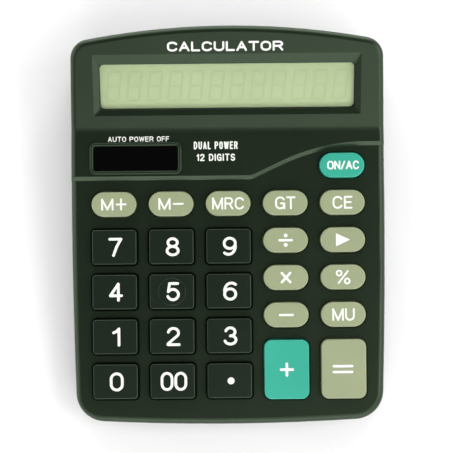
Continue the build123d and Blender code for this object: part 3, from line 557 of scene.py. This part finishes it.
def legend(key, place, text, widths, cap, gap, pen):
    """A printed legend on a key's top, which moves with the key."""
    strokes = letter_strokes(text, widths, cap, gap, pen)
    loops = ink_outlines(strokes, pen)
    ink(f"legend_{key}", loops, on_deck(*place, KEY_TOP_N), PRINT_HEIGHT, white_ink, f"{key}_button")


for i, key in enumerate(DIGIT_KEYS):
    place = (KEY_COLUMNS[i % 3] + DIGIT_SHIFT, DIGIT_ROWS[i // 3])
    if key == "point":
        legend(key, place, ".", [POINT_PEN], POINT_PEN, 0, POINT_PEN)
    elif key == "00":
        legend(key, place, key, [ZEROS_WIDTH, ZEROS_WIDTH], DIGIT_CAP, ZEROS_GAP, DIGIT_PEN)
    else:
        width = ONE_WIDTH if key == "1" else DIGIT_WIDTH
        legend(key, place, key, [width], DIGIT_CAP, 0, DIGIT_PEN)

# each function key's place, text, letter widths, cap height, gap and pen
FUNCTION_LEGENDS = {
    "m_plus": ((KEY_COLUMNS[0], OVAL_ROWS[0]), "M+", [4.6, 4.1], 4.5, 0.8, 0.7),
    "m_minus": ((KEY_COLUMNS[1], OVAL_ROWS[0]), "M-", [4.6, 4.1], 4.5, 0.8, 0.7),
    "mrc": ((KEY_COLUMNS[2], OVAL_ROWS[0]), "MRC", [4.1, 3.3, 3.6], 4.6, 0.5, 0.66),
    "gt": ((KEY_COLUMNS[3], OVAL_ROWS[0]), "GT", [3.8, 3.5], 4.8, 0.35, 0.7),
    "ce": ((KEY_COLUMNS[4], OVAL_ROWS[0]), "CE", [3.8, 3.2], 4.8, 0.5, 0.7),
    "divide": ((KEY_COLUMNS[3], OVAL_ROWS[1]), ":", [5.5], 4.9, 0, 0.9),
    "multiply": ((KEY_COLUMNS[3], OVAL_ROWS[2]), "x", [4.1], 4.35, 0, 0.92),
    "percent": ((KEY_COLUMNS[4], OVAL_ROWS[2]), "%", [5.5], 5.5, 0, 0.66),
    "minus": ((KEY_COLUMNS[3], OVAL_ROWS[3]), "-", [5.6], 2.0, 0, 0.84),
    "mark_up": ((KEY_COLUMNS[4], OVAL_ROWS[3]), "MU", [4.3, 3.6], 4.7, 0.5, 0.68),
    "power": (POWER_PLACE, "ON/AC", [2.5, 2.3, 1.7, 2.5, 2.4], 3.3, 0.15, 0.6),
    "plus": ((KEY_COLUMNS[3], TALL_V), "+", [5.3], 5.3, 0, 1.0),
    "equals": (EQUALS_PLACE, "=", [7.8], 3.1, 0, 0.92),
}
for key, details in FUNCTION_LEGENDS.items():
    legend(key, *details)

# the backspace key's filled arrow head
ARROW_LEFT, ARROW_HALF_HEIGHT, ARROW_TIP = -2.55, 2.45, 2.75
arrow = [(ARROW_LEFT, ARROW_HALF_HEIGHT), (ARROW_LEFT, -ARROW_HALF_HEIGHT), (ARROW_TIP, 0.0)]
arrow_place = on_deck(KEY_COLUMNS[4], OVAL_ROWS[1], KEY_TOP_N)
ink("legend_backspace", [arrow], arrow_place, PRINT_HEIGHT, white_ink, "backspace_button")

# each line's place, width, cap height and pen
WORDS_U = -4.45  # the two lines beside the solar window
word("print_name", "CALCULATOR", on_face(-0.6, 31.6, 0), 43.0, 3.7, 0.75)
word("print_auto_power_off", "AUTO POWER OFF", on_deck(-33.4, 32.3, PANEL_N), 23.0, 1.95, 0.34)
word("print_dual_power", "DUAL POWER", on_deck(WORDS_U, 29.7, PANEL_N), 16.5, 2.9, 0.5)
word("print_twelve_digits", "12 DIGITS", on_deck(WORDS_U, 25.2, PANEL_N), 14.5, 2.7, 0.48)

# ------------------------------------------------------------------ prints on the display glass, and a band of painted shade round them
DISPLAY_DIGITS = 12
SEGMENT_PITCH = 7.7
SEGMENT_CAP = 11.8
SEGMENT_WIDTH = 5.4
SEGMENT_PEN = 0.85
SEGMENT_GAP = 0.12
SEGMENT_LEAN = 0.12  # how far a digit leans to the right, for each millimetre of its height
SEGMENT_HEIGHT = 0.02
DISPLAY_PRINT_M = -2.45  # just over the glass, whose top is at -2.5
DISPLAY_MIDDLE_T = 16.35
BORDER_MIDDLE_T = 16.25
BORDER_OUTSIDE = (48.8, 9.7, 0.6)  # half width, half height and corner radius
BORDER_INSIDE = (47.4, 8.35, 1.6)


def segment(x, y, length, upright):
    """One six-sided display segment about (x, y)."""
    half = length / 2 - SEGMENT_GAP
    side = SEGMENT_PEN / 2
    loop = [(-half, 0), (side - half, -side), (half - side, -side), (half, 0), (half - side, side)]
    loop.append((side - half, side))
    if upright:
        loop = [(-b, a) for a, b in loop]
    return [(x + a + SEGMENT_LEAN * (y + b), y + b) for a, b in loop]


def round_rectangle(half_width, half_height, corner):
    """A closed loop about (0, 0) with rounded corners."""
    x, y = half_width - corner, half_height - corner
    corners = [(x, y, 0), (-x, y, 90), (-x, -y, 180), (x, -y, 270)]
    return [point for cx, cy, turn in corners for point in bow(cx, cy, corner, corner, turn, turn + 90)]


half_cell = (SEGMENT_CAP - SEGMENT_PEN) / 2
reach = (SEGMENT_WIDTH - SEGMENT_PEN) / 2
segment_loops = []
for i in range(DISPLAY_DIGITS):
    middle = (i - (DISPLAY_DIGITS - 1) / 2) * SEGMENT_PITCH
    for row in (-1, 0, 1):
        segment_loops.append(segment(middle, row * half_cell, 2 * reach, False))
    for column in (-1, 1):
        for row in (-0.5, 0.5):
            segment_loops.append(segment(middle + column * reach, row * half_cell, half_cell, True))
digits_place = on_face(0, DISPLAY_MIDDLE_T, DISPLAY_PRINT_M)
ink("lcd_segments", segment_loops, digits_place, SEGMENT_HEIGHT, lcd_ghost)

# The black band round the glass is painted shade: it stands in for the shadow in the gap under the
# window's edge.
border_loops = [round_rectangle(*BORDER_OUTSIDE), round_rectangle(*BORDER_INSIDE)]
border_place = on_face(0, BORDER_MIDDLE_T, DISPLAY_PRINT_M)
ink("lcd_border", border_loops, border_place, PRINT_HEIGHT, painted_shadow_band)

# ------------------------------------------------------------------ studio
FLOOR_SIZE = 1.8
FLOOR_Z = -0.1 * MM  # just clear of the feet
MIDDLE = (0, 0, 0.02)  # what every lamp shines on


def studio_floor():
    """A pale floor sheet under the feet."""
    mesh = bpy.data.meshes.new("floor")
    half = FLOOR_SIZE / 2
    corners = [(-half, -half), (half, -half), (half, half), (-half, half)]
    mesh.from_pydata([(x, y, FLOOR_Z) for x, y in corners], [], [(0, 1, 2, 3)])
    floor = bpy.data.objects.new("floor", mesh)
    bpy.context.scene.collection.objects.link(floor)
    # Seamless paper: matt white with a faint tooth.
    floor.data.materials.append(moulded("matt_white_paper", "#FFFFFF", "#FDFDFD", 0.9, 1.0, 0.05))


def soft_lamp(name, place, size, brightness):
    """A softbox of that width and height, turned to the object and equally bright at any size."""
    lamp = bpy.data.lights.new(name, "AREA")
    lamp.shape = "RECTANGLE"
    lamp.size, lamp.size_y = size
    lamp.energy = brightness * math.pi * size[0] * size[1]
    stand = bpy.data.objects.new(name, lamp)
    stand.location = place
    stand.rotation_euler = (Vector(MIDDLE) - Vector(place)).to_track_quat("-Z", "Y").to_euler()
    bpy.context.scene.collection.objects.link(stand)


studio_floor()
# Large softboxes all round. The right one is the brightest, and the display face mirrors the front one.
soft_lamp("front_softbox", (0.3, -0.72, 0.85), (1.2, 0.75), 1.8)
soft_lamp("left_softbox", (-0.95, 0.0, 0.75), (0.7, 0.7), 1.6)
soft_lamp("right_softbox", (0.85, -0.1, 0.8), (0.7, 0.7), 3.4)
soft_lamp("back_softbox", (0.0, 0.95, 0.7), (1.4, 0.6), 2.2)
# Low strips that draw thin lines of light along the case's edges and the step across the panel.
soft_lamp("back_rim_strip", (0.0, 0.85, 0.18), (1.3, 0.16), 5.5)
soft_lamp("left_rim_strip", (-0.85, 0.1, 0.18), (1.0, 0.16), 2.0)
soft_lamp("front_rim_strip", (0.0, -0.9, 0.32), (1.4, 0.16), 5.0)

# The studio's walls are white and its ceiling is dim: brightness falls off with height.
WALL_TOP, CEILING = 0.15, 0.75  # heights on a sphere of radius 1
WALL_BRIGHTNESS, CEILING_BRIGHTNESS = 1.2, 0.06

world = bpy.data.worlds.new("studio")
world.use_nodes = True
world.node_tree.nodes.clear()
way = add_node(world.node_tree, "ShaderNodeTexCoord")
height = add_node(world.node_tree, "ShaderNodeSeparateXYZ", {}, {"Vector": way.outputs["Generated"]})
brightness = add_node(
    world.node_tree,
    "ShaderNodeMapRange",
    {
        "From Min": WALL_TOP,
        "From Max": CEILING,
        "To Min": WALL_BRIGHTNESS,
        "To Max": CEILING_BRIGHTNESS,
    },
    {"Value": height.outputs["Z"]},
)
sky = add_node(
    world.node_tree,
    "ShaderNodeBackground",
    {"Color": (1, 1, 1, 1)},
    {"Strength": brightness.outputs["Result"]},
)
add_node(world.node_tree, "ShaderNodeOutputWorld", {}, {"Surface": sky.outputs[0]})
bpy.context.scene.world = world
bpy.context.scene.view_settings.view_transform = "Standard"

# ------------------------------------------------------------------ camera
CAMERA_DISTANCE = 580.0  # from the key deck, along its normal, millimetres
VIEW_WIDTH = 170.3  # what the view takes in at the key deck, millimetres
CAMERA_PLACE = (-0.7, -0.8)  # on the key deck, what the middle of the view looks at
CAMERA_ROLL = math.radians(-0.55)
SENSOR = 36.0
NEAR_CLIP = 0.01

camera_data = bpy.data.cameras.new("camera")
camera_data.sensor_width = SENSOR
camera_data.lens = SENSOR * CAMERA_DISTANCE / VIEW_WIDTH
camera_data.clip_start = NEAR_CLIP
camera = bpy.data.objects.new("camera", camera_data)
camera.matrix_world = on_deck(*CAMERA_PLACE, CAMERA_DISTANCE) @ Matrix.Rotation(CAMERA_ROLL, 4, "Z")
bpy.context.scene.collection.objects.link(camera)
bpy.context.scene.camera = camera
